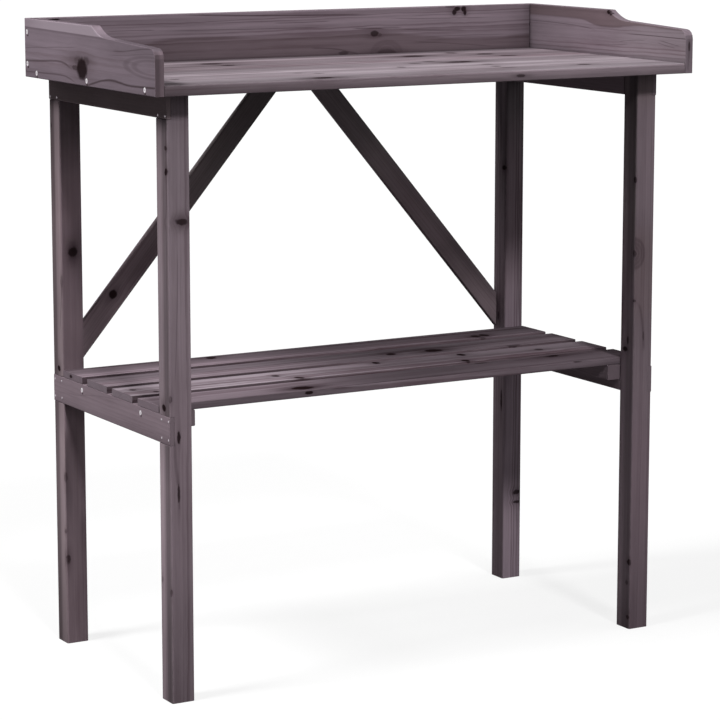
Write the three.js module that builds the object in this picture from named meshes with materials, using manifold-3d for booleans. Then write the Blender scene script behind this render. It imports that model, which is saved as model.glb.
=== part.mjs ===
// Potting bench of stained pine: two lap-jointed side frames, a slatted shelf, a tongue-and-groove
// worktop between shaped side boards, a back board and two diagonal braces.
// Millimetres. X runs to the right, Y to the back, Z up. The origin is on the floor, under the
// middle of the bench.

import * as THREE from 'three';
import { mergeVertices } from 'three/addons/utils/BufferGeometryUtils.js';
import Module from 'manifold-3d';

const wasm = await Module();
wasm.setup();

// Overall sizes
const overallWidth = 825;
const legHeight = 794.3;

// Fits and finish
const seatGap = 0.3;
const overrun = 5;
const arris = 1;
const arcSteps = 2;
const curveSteps = 12;

// Worktop boards
const plankCount = 4;
const plankWidth = 97;
const plankThickness = 14;
const noseRadius = 3;
const tongueThickness = 4.5;
const tongueLength = 5;

// Side boards and back board
const sideBoardThickness = 13;
const backBoardThickness = 15;
const boardHeight = 79.5;
const boardFrontHeight = 60.2;
const boardHighLength = 218;
const boardCornerRadius = 13;
const hollowLength = 44;
const hollowDrop = 14.2;
const hollowStartShares = [0.26, 0.53];
const hollowEndShares = [0.55, 0.95];

// Side frames
const frontOverhang = 38;
const backOverhang = 1.6;
const endOverhang = 20.4;
const legSize = 32;
const legEdgeRadius = 2.5;
const railThickness = 32;
const railEdgeRadius = 1.2;
const topRailHeight = 31.5;
const shelfRailHeight = 37.6;
const shelfRailUnderside = 342.8;
const lapThickness = 6;

// Shelf
const slatCount = 4;
const slatGap = 16;
const slatThickness = 9.5;
const slatEdgeRadius = 0.8;
const battenWidth = 20;
const battenHeight = 21.5;

// Braces
const braceWidth = 32.5;
const braceThickness = 9.5;

// Countersunk screws and where they go
const screwLength = 45;
const screwHeadDiameter = 7;
const screwHeadDepth = 2.2;
const screwHeadSink = 0.3;
const screwShankDiameter = 3.6;
const screwPointLength = 5;
const screwSides = 16;
const recessLength = 4;
const recessWidth = 0.9;
const recessDepth = 1.2;
const worktopScrewFrontInset = 30.6;
const worktopScrewBackInset = 22.5;
const worktopScrewEdgeInset = 10;
const backBoardScrewInset = 18.2;
const railScrewDrop = 8.6;
const railScrewFrontInset = 87.6;
const railScrewBackInset = 92.8;

// Sizes that follow from the ones above
const plankLength = overallWidth - 2 * (sideBoardThickness + seatGap);
const plankPitch = plankWidth + seatGap;
const worktopDepth = plankCount * plankPitch - seatGap;
const sideBoardLength = worktopDepth + seatGap + backBoardThickness;
const frontY = -sideBoardLength / 2;
const backY = sideBoardLength / 2;
const boardUnderside = legHeight + seatGap;
const worktopBackY = frontY + worktopDepth;

const frameWidth = plankLength - 2 * endOverhang;
const frameFrontY = frontY + frontOverhang;
const frameBackY = backY - backOverhang;
const frameDepth = frameBackY - frameFrontY;
const frameMiddleY = (frameFrontY + frameBackY) / 2;
const legX = frameWidth / 2 - legSize / 2;
const clearDepth = frameDepth - 2 * (legSize + seatGap);

const shelfRailTop = shelfRailUnderside + shelfRailHeight;
const slatUnderside = shelfRailTop + seatGap;
const slatTop = slatUnderside + slatThickness;
const slatWidth = (clearDepth - (slatCount - 1) * slatGap) / slatCount;

// Materials

function stainedPine(color) {
  return new THREE.MeshStandardMaterial({ color, roughness: 0.78, metalness: 0 });
}

const framePine = stainedPine(0x7a6d74);
const boardPine = stainedPine(0x776a71);
const worktopPine = stainedPine(0x96898f);
const shelfPine = stainedPine(0x857980);
const bracePine = stainedPine(0x5a4c52);
const brightZinc = new THREE.MeshStandardMaterial({ color: 0xdcd9db, roughness: 0.35, metalness: 0.9 });

// Solid tools

function toManifold(geometry) {
  const bare = geometry.clone();
  bare.deleteAttribute('normal');
  bare.deleteAttribute('uv');
  const merged = mergeVertices(bare);
  return new wasm.Manifold(new wasm.Mesh({
    numProp: 3,
    vertProperties: merged.attributes.position.array,
    triVerts: new Uint32Array(merged.index.array),
  }));
}

function toGeometry(solid) {
  const { vertProperties, triVerts } = solid.getMesh();
  const geometry = new THREE.BufferGeometry();
  geometry.setAttribute('position', new THREE.BufferAttribute(vertProperties, 3));
  geometry.setIndex(new THREE.BufferAttribute(triVerts, 1));
  geometry.computeVertexNormals();
  return geometry;
}

function cut(geometry, cutters) {
  let solid = toManifold(geometry);
  for (const cutter of cutters) {
    solid = solid.subtract(toManifold(cutter));
  }
  return toGeometry(solid);
}

// A box given by its low and high corners
function block(low, high) {
  const size = high.map((value, axis) => value - low[axis]);
  const middle = high.map((value, axis) => (value + low[axis]) / 2);
  return new THREE.BoxGeometry(...size).translate(...middle);
}

// Outlines

// A closed outline through corners [x, y, radius], each corner rounded to its radius
function roundedOutline(corners) {
  const shape = new THREE.Shape();
  corners.forEach(([x, y, radius], index) => {
    if (radius > 0) {
      const corner = new THREE.Vector2(x, y);
      const before = new THREE.Vector2(...corners.at(index - 1)).sub(corner).normalize();
      const after = new THREE.Vector2(...corners[(index + 1) % corners.length]).sub(corner).normalize();
      const halfAngle = Math.acos(before.dot(after)) / 2;
      const reach = radius / Math.tan(halfAngle);
      const middle = before.clone().add(after).normalize();
      const centre = corner.clone().addScaledVector(middle, radius / Math.sin(halfAngle));
      const start = corner.clone().addScaledVector(before, reach).sub(centre);
      const end = corner.clone().addScaledVector(after, reach).sub(centre);
      shape.absarc(centre.x, centre.y, radius, start.angle(), end.angle(), before.cross(after) > 0);
    } else if (index === 0) {
      shape.moveTo(x, y);
    } else {
      shape.lineTo(x, y);
    }
  });
  shape.closePath();
  return shape;
}

function bar(width, height, radius) {
  return roundedOutline([
    [-width / 2, 0, radius],
    [width / 2, 0, radius],
    [width / 2, height, radius],
    [-width / 2, height, radius],
  ]);
}

// Extrusions, along the X, Y and Z axes

const right = new THREE.Vector3(1, 0, 0);
const back = new THREE.Vector3(0, 1, 0);
const front = new THREE.Vector3(0, -1, 0);
const up = new THREE.Vector3(0, 0, 1);

function sweep(outline, depth, edgeRadius, axes) {
  const geometry = new THREE.ExtrudeGeometry(outline, {
    depth: depth - 2 * edgeRadius,
    curveSegments: arcSteps,
    bevelEnabled: edgeRadius > 0,
    bevelSize: edgeRadius,
    bevelOffset: -edgeRadius,
    bevelThickness: edgeRadius,
    bevelSegments: arcSteps,
  });
  geometry.translate(0, 0, edgeRadius - depth / 2);
  return geometry.applyMatrix4(new THREE.Matrix4().makeBasis(...axes));
}

// Outline in Y and Z
function alongX(outline, length, edgeRadius = 0) {
  return sweep(outline, length, edgeRadius, [back, up, right]);
}

// Outline in X and Z
function alongY(outline, length, edgeRadius = 0) {
  return sweep(outline, length, edgeRadius, [right, up, front]);
}

// Outline in X and Y, standing on the floor
function alongZ(outline, length) {
  return sweep(outline, length, 0, [right, back, up]).translate(0, 0, length / 2);
}

const bench = new THREE.Group();

function place(name, geometry, material, x, y, z, turn = 0) {
  const mesh = new THREE.Mesh(geometry, material);
  mesh.name = name;
  mesh.position.set(x, y, z);
  mesh.rotation.z = turn;
  mesh.updateMatrix();
  bench.add(mesh);
  return mesh;
}

// Legs: square stock, rebated on the outer face for the laps of both rails

function legGeometry() {
  const outline = roundedOutline([
    [-legSize / 2, -legSize / 2, legEdgeRadius],
    [legSize / 2, -legSize / 2, legEdgeRadius],
    [legSize / 2, legSize / 2, legEdgeRadius],
    [-legSize / 2, legSize / 2, legEdgeRadius],
  ]);
  const rebate = (bottom, top) => block(
    [-legSize / 2 - overrun, -legSize / 2 - overrun, bottom],
    [-legSize / 2 + lapThickness + seatGap, legSize / 2 + overrun, top],
  );
  return cut(alongZ(outline, legHeight), [
    rebate(legHeight - topRailHeight - seatGap, legHeight + overrun),
    rebate(shelfRailUnderside - seatGap, shelfRailTop + seatGap),
  ]);
}

function buildLegs() {
  const geometry = legGeometry();
  const places = [
    ['front_left_leg', -legX, frameFrontY + legSize / 2, 0],
    ['back_left_leg', -legX, frameBackY - legSize / 2, 0],
    ['front_right_leg', legX, frameFrontY + legSize / 2, Math.PI],
    ['back_right_leg', legX, frameBackY - legSize / 2, Math.PI],
  ];
  for (const [name, x, y, turn] of places) {
    place(name, geometry, framePine, x, y, 0, turn);
  }
}

// Side rails: full stock between the legs, with a thin lap at each end that fills the leg's rebate

function railGeometry(height) {
  const shoulder = legSize + seatGap;
  const waste = (nearY, farY) => block(
    [-railThickness / 2 + lapThickness, nearY, -overrun],
    [railThickness / 2 + overrun, farY, height + overrun],
  );
  return cut(alongY(bar(railThickness, height, railEdgeRadius), frameDepth), [
    waste(-frameDepth / 2 - overrun, -frameDepth / 2 + shoulder),
    waste(frameDepth / 2 - shoulder, frameDepth / 2 + overrun),
  ]);
}

function buildRails() {
  const railX = frameWidth / 2 - railThickness / 2;
  const topRail = railGeometry(topRailHeight);
  const shelfRail = railGeometry(shelfRailHeight);
  const topZ = legHeight - topRailHeight;
  const shelfZ = shelfRailUnderside;
  place('left_top_rail', topRail, framePine, -railX, frameMiddleY, topZ);
  place('right_top_rail', topRail, framePine, railX, frameMiddleY, topZ, Math.PI);
  return {
    left: place('left_shelf_rail', shelfRail, framePine, -railX, frameMiddleY, shelfZ),
    right: place('right_shelf_rail', shelfRail, framePine, railX, frameMiddleY, shelfZ, Math.PI),
  };
}

// Shelf battens: screwed to the inner faces of the shelf rails, level with their tops

function buildBattens() {
  const geometry = alongY(bar(battenWidth, battenHeight, railEdgeRadius), clearDepth);
  const x = frameWidth / 2 - railThickness - seatGap - battenWidth / 2;
  const z = shelfRailTop - battenHeight;
  return {
    left: place('left_shelf_batten', geometry, framePine, -x, frameMiddleY, z),
    right: place('right_shelf_batten', geometry, framePine, x, frameMiddleY, z),
  };
}

// Shelf slats: across both shelf rails, between the front and back legs

function buildSlats() {
  const geometry = alongX(bar(slatWidth, slatThickness, slatEdgeRadius), frameWidth);
  const firstY = frameMiddleY - clearDepth / 2 + slatWidth / 2;
  for (let index = 0; index < slatCount; index += 1) {
    const y = firstY + index * (slatWidth + slatGap);
    place(`shelf_slat_${index + 1}`, geometry, shelfPine, 0, y, slatUnderside);
  }
}

// Worktop boards: a tongue on the back edge, a groove in the front edge, a round nose at the front

function plankOutline(first, last) {
  const middle = plankThickness / 2;
  const halfTongue = tongueThickness / 2;
  const halfGroove = halfTongue + seatGap;
  const grooveDepth = tongueLength + seatGap;
  const groove = [
    [0, middle + halfGroove, 0],
    [grooveDepth, middle + halfGroove, 0],
    [grooveDepth, middle - halfGroove, 0],
    [0, middle - halfGroove, 0],
  ];
  const tongue = [
    [plankWidth, middle - halfTongue, 0],
    [plankWidth + tongueLength, middle - halfTongue, arris],
    [plankWidth + tongueLength, middle + halfTongue, arris],
    [plankWidth, middle + halfTongue, 0],
  ];
  return roundedOutline([
    [0, 0, arris],
    [plankWidth, 0, arris],
    ...(last ? [] : tongue),
    [plankWidth, plankThickness, arris],
    [0, plankThickness, first ? noseRadius : arris],
    ...(first ? [] : groove),
  ]);
}

function buildWorktop() {
  return Array.from({ length: plankCount }, (_, index) => {
    const outline = plankOutline(index === 0, index === plankCount - 1);
    const y = frontY + index * plankPitch;
    const geometry = alongX(outline, plankLength);
    return place(`top_plank_${index + 1}`, geometry, worktopPine, 0, y, boardUnderside);
  });
}

// Back board: stands on edge behind the worktop, between the side boards

function buildBackBoard() {
  const geometry = alongY(bar(plankLength, boardHeight, 0), backBoardThickness, arris);
  return place('back_board', geometry, boardPine, 0, backY - backBoardThickness / 2, boardUnderside);
}

// Side boards: high at the back, a hollow drop, then a low run that falls to a round front corner

function sideBoardOutline() {
  const dropY = sideBoardLength - boardHighLength;
  const hollowPoint = ([lengthShare, dropShare]) => new THREE.Vector2(
    dropY - hollowLength * lengthShare,
    boardHeight - hollowDrop * dropShare,
  );
  const hollow = new THREE.CubicBezierCurve(
    hollowPoint([0, 0]),
    hollowPoint(hollowStartShares),
    hollowPoint(hollowEndShares),
    hollowPoint([1, 1]),
  );
  const outline = new THREE.Shape([
    new THREE.Vector2(0, 0),
    new THREE.Vector2(sideBoardLength, 0),
    new THREE.Vector2(sideBoardLength, boardHeight),
    ...hollow.getPoints(curveSteps),
  ]);
  const cornerZ = boardFrontHeight - boardCornerRadius;
  outline.absarc(boardCornerRadius, cornerZ, boardCornerRadius, Math.PI / 2, Math.PI, false);
  outline.closePath();
  return outline;
}

function buildSideBoards() {
  const geometry = alongX(sideBoardOutline(), sideBoardThickness, arris);
  const x = overallWidth / 2 - sideBoardThickness / 2;
  return {
    left: place('left_side_board', geometry, boardPine, -x, frontY, boardUnderside),
    right: place('right_side_board', geometry, boardPine, x, frontY, boardUnderside),
  };
}

// Braces: flush with the backs of the legs, cut plumb to the leg at the foot and level at the top,
// where their lower edges meet on the middle of the bench

function braceOutline(side) {
  const footX = frameWidth / 2 - legSize - seatGap;
  const tipX = seatGap / 2;
  const rise = legHeight - slatTop;
  const run = footX - tipX;
  const slant = Math.hypot(rise, run);
  return new THREE.Shape([
    new THREE.Vector2(side * footX, slatTop),
    new THREE.Vector2(side * tipX, legHeight),
    new THREE.Vector2(side * (tipX + braceWidth * slant / rise), legHeight),
    new THREE.Vector2(side * footX, slatTop + braceWidth * slant / run),
  ]);
}

function buildBraces() {
  const y = frameBackY - braceThickness / 2;
  for (const [name, side] of [['left_brace', -1], ['right_brace', 1]]) {
    place(name, alongY(braceOutline(side), braceThickness, arris), bracePine, 0, y, 0);
  }
}

// Screws: the head faces left, and the same profile with clearance is the hole

function screwProfile(clearance, top) {
  const headRadius = screwHeadDiameter / 2 + clearance;
  const shankRadius = screwShankDiameter / 2 + clearance;
  return [
    new THREE.Vector2(0, -screwLength - clearance),
    new THREE.Vector2(shankRadius, screwPointLength - screwLength),
    new THREE.Vector2(shankRadius, -screwHeadDepth),
    new THREE.Vector2(headRadius, 0),
    ...(top > 0 ? [new THREE.Vector2(headRadius, top)] : []),
    new THREE.Vector2(0, top),
  ];
}

function screwGeometry() {
  const body = new THREE.LatheGeometry(screwProfile(0, 0), screwSides);
  const slot = (halfX, halfZ) => block([-halfX, -recessDepth, -halfZ], [halfX, overrun, halfZ]);
  const crossed = cut(body, [
    slot(recessLength / 2, recessWidth / 2),
    slot(recessWidth / 2, recessLength / 2),
  ]);
  return crossed.rotateZ(Math.PI / 2);
}

function holeGeometry() {
  const profile = screwProfile(seatGap, screwHeadSink + overrun);
  return new THREE.LatheGeometry(profile, screwSides).rotateZ(Math.PI / 2);
}

const screw = screwGeometry();
const screwHole = holeGeometry();

function drive(name, side, faceX, y, z, pieces) {
  const turn = side < 0 ? 0 : Math.PI;
  const fastener = place(name, screw, brightZinc, side * (faceX - screwHeadSink), y, z, turn);
  for (const piece of pieces) {
    const toPiece = piece.matrix.clone().invert().multiply(fastener.matrix);
    piece.geometry = cut(piece.geometry, [screwHole.clone().applyMatrix4(toPiece)]);
  }
}

function driveBoardScrews(sideName, side, board, planks, backBoard) {
  const plankZ = boardUnderside + plankThickness / 2;
  const backBoardY = backY - backBoardThickness / 2;
  const planksAndPlaces = [
    [planks[0], frontY + worktopScrewFrontInset, plankZ],
    [planks[2], frontY + 2 * plankPitch + worktopScrewEdgeInset, plankZ],
    [planks[3], worktopBackY - worktopScrewBackInset, plankZ],
    [backBoard, backBoardY, boardUnderside + backBoardScrewInset],
    [backBoard, backBoardY, boardUnderside + boardHeight - backBoardScrewInset],
  ];
  planksAndPlaces.forEach(([piece, y, z], index) => {
    drive(`${sideName}_board_screw_${index + 1}`, side, overallWidth / 2, y, z, [board, piece]);
  });
}

function driveRailScrews(sideName, side, rail, batten) {
  const z = shelfRailTop - railScrewDrop;
  const places = [frameFrontY + railScrewFrontInset, frameBackY - railScrewBackInset];
  places.forEach((y, index) => {
    drive(`${sideName}_rail_screw_${index + 1}`, side, frameWidth / 2, y, z, [rail, batten]);
  });
}

// The whole bench

buildLegs();
const rails = buildRails();
const battens = buildBattens();
buildSlats();
const planks = buildWorktop();
const backBoard = buildBackBoard();
const sideBoards = buildSideBoards();
buildBraces();
driveBoardScrews('left', -1, sideBoards.left, planks, backBoard);
driveBoardScrews('right', 1, sideBoards.right, planks, backBoard);
driveRailScrews('left', -1, rails.left, battens.left);
driveRailScrews('right', 1, rails.right, battens.right);

export default bench;
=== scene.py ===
import math
import random

import bmesh
import bpy
from mathutils import Matrix, Vector


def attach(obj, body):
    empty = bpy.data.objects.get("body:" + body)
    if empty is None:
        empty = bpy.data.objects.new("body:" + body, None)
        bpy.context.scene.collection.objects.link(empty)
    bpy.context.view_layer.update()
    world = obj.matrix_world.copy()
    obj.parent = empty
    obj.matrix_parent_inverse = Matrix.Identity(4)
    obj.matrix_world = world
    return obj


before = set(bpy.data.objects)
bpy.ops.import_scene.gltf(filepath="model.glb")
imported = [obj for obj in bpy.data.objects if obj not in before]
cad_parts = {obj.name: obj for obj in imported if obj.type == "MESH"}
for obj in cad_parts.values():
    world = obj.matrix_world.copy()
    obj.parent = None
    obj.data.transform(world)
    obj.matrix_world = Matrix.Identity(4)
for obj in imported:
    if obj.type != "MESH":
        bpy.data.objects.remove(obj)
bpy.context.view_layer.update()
scene = bpy.context.scene
MM = 0.001


def placed(name, data):
    """A new object of the scene."""
    piece = bpy.data.objects.new(name, data)
    scene.collection.objects.link(piece)
    return piece


# Node helpers

class Graph:
    """Short hand for building a shader or group tree."""

    def __init__(self, tree):
        self.tree = tree

    def add(self, kind, **settings):
        node = self.tree.nodes.new(kind)
        for key, value in settings.items():
            setattr(node, key, value)
        return node

    def put(self, socket, value):
        if isinstance(value, bpy.types.NodeSocket):
            self.tree.links.new(value, socket)
        elif value is not None:
            socket.default_value = value

    def fill(self, node, values):
        for name, value in values.items():
            self.put(node.inputs[name], value)

    def math(self, operation, a, b=None, c=None, clamp=False):
        node = self.add("ShaderNodeMath", operation=operation, use_clamp=clamp)
        for socket, value in zip(node.inputs, (a, b, c)):
            self.put(socket, value)
        return node.outputs[0]

    def plus(self, a, b):
        return self.math("ADD", a, b)

    def minus(self, a, b):
        return self.math("SUBTRACT", a, b)

    def times(self, a, b):
        return self.math("MULTIPLY", a, b)

    def times_plus(self, a, b, c):
        return self.math("MULTIPLY_ADD", a, b, c)

    def largest(self, a, b, c):
        return self.math("MAXIMUM", self.math("MAXIMUM", a, b), c)

    def unsigned(self, value):
        return self.math("ABSOLUTE", value)

    def distance(self, a, b):
        return self.math("SQRT", self.plus(self.times(a, a), self.times(b, b)))

    def swing(self, noise, reach):
        """A noise that varies round its middle, as a value round zero."""
        return self.times(self.minus(noise, 0.5), reach)

    def bell(self, value, fall):
        """1 where the value is zero, and less on both sides."""
        return self.math("EXPONENT", self.times(self.times(value, value), -fall))

    def vector(self, operation, a, b=None, scale=None):
        node = self.add("ShaderNodeVectorMath", operation=operation)
        self.put(node.inputs[0], a)
        self.put(node.inputs[1], b)
        self.put(node.inputs[3], scale)
        return node.outputs[1 if operation == "LENGTH" else 0]

    def separate(self, vector):
        node = self.add("ShaderNodeSeparateXYZ")
        self.put(node.inputs[0], vector)
        return node.outputs

    def combine(self, x, y, z):
        node = self.add("ShaderNodeCombineXYZ")
        for socket, value in zip(node.inputs, (x, y, z)):
            self.put(socket, value)
        return node.outputs[0]

    def noise(self, vector, scale, detail=2.0, roughness=0.5):
        node = self.add("ShaderNodeTexNoise")
        self.fill(node, {"Vector": vector, "Scale": scale, "Detail": detail, "Roughness": roughness})
        return node.outputs["Fac"]

    def step(self, value, start, end, low=0.0, high=1.0, smooth=True):
        """Low before the start and high after the end. The start may be the larger of the two."""
        node = self.add("ShaderNodeMapRange", interpolation_type="SMOOTHSTEP" if smooth else "LINEAR")
        self.fill(node, {"Value": value, "From Min": start, "From Max": end, "To Min": low, "To Max": high})
        return node.outputs[0]

    def ramp(self, value, stops):
        node = self.add("ShaderNodeValToRGB")
        elements = node.color_ramp.elements
        while len(elements) < len(stops):
            elements.new(0.5)
        for element, (position, colour) in zip(elements, stops):
            element.position = position
            element.color = (*colour, 1.0)
        self.put(node.inputs[0], value)
        return node.outputs["Color"]

    def mix(self, factor, a, b, blend="MIX"):
        node = self.add("ShaderNodeMix", data_type="RGBA", blend_type=blend)
        self.put(node.inputs[0], factor)
        for socket, colour in ((node.inputs[6], a), (node.inputs[7], b)):
            self.put(socket, colour if isinstance(colour, bpy.types.NodeSocket) else (*colour, 1.0))
        return node.outputs[2]

    def bump(self, height, strength, distance, normal=None):
        node = self.add("ShaderNodeBump")
        self.fill(node, {"Height": height, "Strength": strength, "Distance": distance, "Normal": normal})
        return node.outputs[0]


def new_group(name, vectors_in, floats_in, vectors_out, floats_out):
    """An empty node group, its graph and the sockets inside it."""
    group = bpy.data.node_groups.new(name, "ShaderNodeTree")
    for way, kind, labels in (("INPUT", "Vector", vectors_in), ("INPUT", "Float", floats_in),
                              ("OUTPUT", "Vector", vectors_out), ("OUTPUT", "Float", floats_out)):
        for label in labels:
            group.interface.new_socket(label, in_out=way, socket_type=f"NodeSocket{kind}")
    graph = Graph(group)
    return group, graph, graph.add("NodeGroupInput").outputs, graph.add("NodeGroupOutput").inputs


def empty_tree(holder):
    """The cleared node tree of a material or of the world."""
    holder.use_nodes = True
    holder.node_tree.nodes.clear()
    return Graph(holder.node_tree)


# Wood: the node groups

KNOT_RIM, KNOT_CORE = 1.15, 0.70
HALO_FALL, BEND_FALL, HALO_WOBBLE = 1.3, 0.32, 0.4

# Noises of the grain: their scales along and across it, per metre, and their detail and roughness
BENDS, RIPPLES = (3.2, 14, 2, 0.45), (17, 90, 2, 0.5)
STREAKS, FIBRES, CLOUDS = (6, 260, 3, 0.6), (42, 1500, 2, 0.6), (4.5, 22, 3, 0.55)
RIPPLE_SHARE, UNEVENNESS = 0.55, 2.2
LATE_START, LATE_FULL, LATE_END = 0.30, 0.86, 0.90


def make_knot_group():
    """A knot bends the grain round itself and gives masks of its heart and of the dark wood round it."""
    group, g, given, made = new_group(
        "knot", ("Position", "Bent", "Centre", "Inverse radii", "Across", "Fade"),
        ("Heart", "Halo", "Heart before", "Halo before", "Wobble", "Bend"), ("Bent",), ("Heart", "Halo"))
    offset = g.vector("SUBTRACT", given["Position"], given["Centre"])
    stretched = g.vector("MULTIPLY", offset, given["Inverse radii"])
    distance = g.vector("LENGTH", stretched)
    heart = g.times(g.step(g.plus(distance, given["Wobble"]), KNOT_RIM, KNOT_CORE), given["Heart"])
    faded = g.vector("LENGTH", g.vector("MULTIPLY", stretched, given["Fade"]))
    faded = g.plus(faded, g.times(given["Wobble"], HALO_WOBBLE))
    halo = g.times(g.bell(faded, HALO_FALL), given["Halo"])
    bend = g.times(g.bell(distance, BEND_FALL), given["Bend"])
    push = g.vector("SCALE", g.vector("MULTIPLY", offset, given["Across"]), scale=bend)
    g.put(made["Bent"], g.vector("ADD", given["Bent"], push))
    g.put(made["Heart"], g.math("MAXIMUM", heart, given["Heart before"]))
    g.put(made["Halo"], g.math("MAXIMUM", halo, given["Halo before"]))
    return group


def make_ring_group():
    """Growth rings cut by the saw: U along the grain, V across, W through the board, all in metres."""
    group, g, given, made = new_group(
        "growth_rings",
        (), ("U", "V", "W", "Pith V", "Pith W", "Lean V", "Lean W", "Spacing", "Wave", "Seed"),
        (), ("Late wood", "Ring tone", "Streak", "Fibre", "Cloud"))
    seed = given["Seed"]

    def grain_noise(along, across, detail, roughness):
        u, v, w = g.times(given["U"], along), g.times(given["V"], across), g.times(given["W"], across)
        return g.noise(g.combine(g.plus(u, seed), v, w), 1.0, detail, roughness)

    def from_pith(axis):
        leaned = g.times(given["U"], given[f"Lean {axis}"])
        return g.minus(g.minus(given[axis], given[f"Pith {axis}"]), leaned)

    bend = g.swing(grain_noise(*BENDS), given["Wave"])
    ripple = g.swing(grain_noise(*RIPPLES), g.times(given["Spacing"], RIPPLE_SHARE))
    radius = g.plus(g.plus(g.distance(from_pith("V"), from_pith("W")), bend), ripple)
    count = g.math("DIVIDE", radius, given["Spacing"])
    uneven = g.noise(g.combine(g.times(count, 0.55), seed, 0.0), 1.0, 2.0, 0.6)
    count = g.plus(count, g.times(uneven, UNEVENNESS))

    # Late wood darkens slowly towards the end of each ring and stops short. How dark it gets is chance
    part = g.math("FRACT", count)
    late = g.times(g.step(part, LATE_START, LATE_FULL), g.step(part, 1.0, LATE_END))
    chance = g.add("ShaderNodeTexWhiteNoise", noise_dimensions="2D")
    g.put(chance.inputs["Vector"], g.combine(g.math("FLOOR", count), seed, 0.0))
    luck = chance.outputs["Value"]
    g.put(made["Late wood"], g.times(late, g.times_plus(g.times(luck, luck), 0.95, 0.15)))
    g.put(made["Ring tone"], g.noise(g.combine(g.times(count, 0.9), seed, 4.0), 1.0, 1.0, 0.5))
    g.put(made["Streak"], grain_noise(*STREAKS))
    g.put(made["Fibre"], grain_noise(*FIBRES))
    g.put(made["Cloud"], grain_noise(*CLOUDS))
    return group


KNOT_GROUP = make_knot_group()
RING_GROUP = make_ring_group()


# Wood: what is drawn on single faces

# Each mark is a tuple, in millimetres. Its face is a sign and an axis, or "" for every face:
# ("tone", face, axis, stops) multiplies by a factor that follows the stops (place, factor) on the axis.
# A window (axis, start, end, ...) after the stops lets the tone in from each start to its end.
# ("tint", face, axis, start, end, colour) multiplies by a colour: not yet at the start, fully at the end.
# ("above" or "below", face, axes, points, softness, colour) does so on one side of a drawn edge.
# ("line", face, axes, points, width, strength) inks a grain line.
# ("ovals", face, axes, centre, radii, rings, width, strength) inks ovals, and a ring of 0 is a spot.

EVERYWHERE = ("Y", -1000, -999)
TONE_RANGE = 4
LINE_CORE = 0.2
LINE_FADE = 0.15


def profile(g, value, stops):
    """A factor that follows stops (place in millimetres, factor) along one axis."""
    low, high = stops[0][0], stops[-1][0]
    place = g.step(value, low * MM, high * MM, smooth=False)
    shade = g.ramp(place, [((p - low) / (high - low), (t / TONE_RANGE,) * 3) for p, t in stops])
    return g.times(shade, TONE_RANGE)


def curve(g, value, points):
    """Where a drawn line runs: its place across the board for a place along it."""
    start, end = points[0][0], points[-1][0]
    low = min(v for _, v in points)
    span = max(max(v for _, v in points) - low, 1.0)
    node = g.add("ShaderNodeFloatCurve")
    dots = node.mapping.curves[0].points
    spots = [((u - start) / (end - start), (v - low) / span) for u, v in points]
    dots[0].location, dots[1].location = spots[0], spots[-1]
    for u, v in spots[1:-1]:
        dots.new(u, v)
    node.mapping.update()
    g.put(node.inputs["Value"], g.step(value, start * MM, end * MM, smooth=False))
    return g.times_plus(node.outputs[0], span * MM, low * MM)


def multiplied(g, share, colour, tint):
    return g.mix(share, colour, g.mix(1.0, colour, tint, "MULTIPLY"))


def draw_tone(g, colour, parts, here, axis, stops, window=()):
    if window:
        window_axis, *ends = window
        for start, end in zip(ends[::2], ends[1::2]):
            here = g.times(here, g.step(parts["XYZ".index(window_axis)], start * MM, end * MM))
    shade = g.minus(profile(g, parts["XYZ".index(axis)], stops), 1.0)
    return g.vector("SCALE", colour, scale=g.times_plus(shade, here, 1.0))


def draw_tint(g, colour, parts, here, axis, start, end, tint):
    share = g.step(parts["XYZ".index(axis)], start * MM, end * MM)
    return multiplied(g, g.times(share, here), colour, tint)


def draw_zone(g, colour, u, v, here, kind, points, soft, tint):
    over = g.minus(v, curve(g, u, points))
    if kind == "below":
        soft = -soft
    return multiplied(g, g.times(g.step(over, -soft * MM, soft * MM), here), colour, tint)


def line_mask(g, u, v, points, width):
    start, end = points[0][0], points[-1][0]
    fade = LINE_FADE * (end - start)
    off = g.unsigned(g.minus(v, curve(g, u, points)))
    ends = g.times(g.step(u, start * MM, (start + fade) * MM), g.step(u, end * MM, (end - fade) * MM))
    return g.times(g.step(off, width * MM, LINE_CORE * width * MM), ends)


def oval_mask(g, u, v, centre, radii, rings, width):
    du, dv = (g.math("DIVIDE", g.minus(place, middle * MM), radius * MM)
              for place, middle, radius in zip((u, v), centre, radii))
    away = g.distance(du, dv)
    mask = 0.0
    for ring in rings:
        mask = g.math("MAXIMUM", g.step(g.unsigned(g.minus(away, ring)), width, LINE_CORE * width), mask)
    return mask


def draw(g, colour, parts, facing, drawn, wander, ink):
    """All the marks of one board, in their order. Lines and ovals wander a little with the streaks."""
    faces = {"": 1.0}
    for kind, face, axes, *rest in drawn:
        if face not in faces:
            toward = g.times(facing["XYZ".index(face[1])], 1.0 if face[0] == "+" else -1.0)
            faces[face] = g.step(toward, 0.5, 0.8)
        here = faces[face]
        if kind in ("tone", "tint"):
            colour = (draw_tone if kind == "tone" else draw_tint)(g, colour, parts, here, axes, *rest)
        else:
            u, v = (parts["XYZ".index(axis)] for axis in axes)
            v = g.plus(v, wander)
            if kind in ("above", "below"):
                colour = draw_zone(g, colour, u, v, here, kind, *rest)
            else:
                *shape, strength = rest
                mask = (line_mask if kind == "line" else oval_mask)(g, u, v, *shape)
                colour = g.mix(g.times(g.times(mask, strength), here), colour, ink)
    return colour


# Wood: the material

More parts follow.
